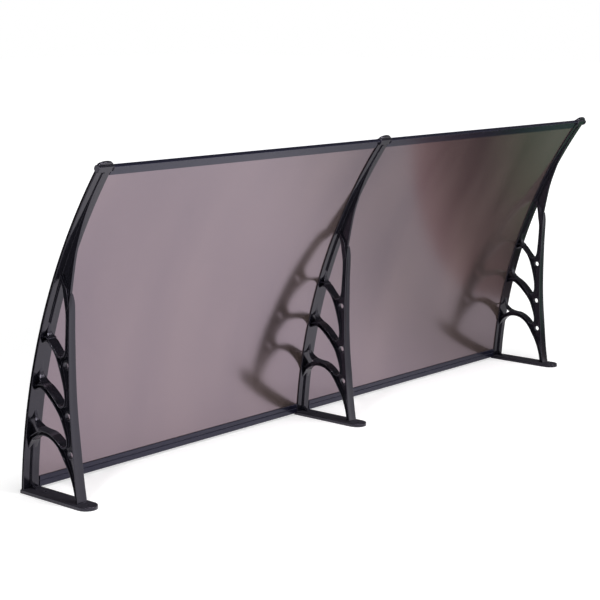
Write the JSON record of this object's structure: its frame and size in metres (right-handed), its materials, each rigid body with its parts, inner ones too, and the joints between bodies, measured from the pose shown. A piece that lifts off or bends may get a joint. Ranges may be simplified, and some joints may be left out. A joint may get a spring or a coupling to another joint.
{
  "type": "door canopy",
  "caption": "Curved awning over a door: bronze plastic sheets on black truss brackets, with edge bars, cover strips and end caps.",
  "frame": {"origin": "middle of the middle bracket's wall plate, on the wall", "axes": "+X along the canopy, +Y up the wall in use, +Z out of the wall"},
  "size_m": [2.052, 0.3083, 0.8163],
  "materials": {
    "bracket_black": "satin moulded plastic",
    "cap_black": "satin moulded plastic",
    "bronze_sheet": "glossy bronze polycarbonate",
    "bar_black": "satin black coating"
  },
  "bodies": {
    "root": {"bracket_left": "bracket_black", "bracket_middle": "bracket_black", "bracket_right": "bracket_black", "cover_strip_left": "bracket_black", "cover_strip_middle": "bracket_black", "cover_strip_right": "bracket_black", "end_cap_left": "cap_black", "end_cap_middle": "cap_black", "end_cap_right": "cap_black", "sheet_left": "bronze_sheet", "sheet_right": "bronze_sheet", "front_bar_left": "bar_black", "front_bar_right": "bar_black", "rear_bar_left": "bar_black", "rear_bar_right": "bar_black"}
  },
  "joints": []
}
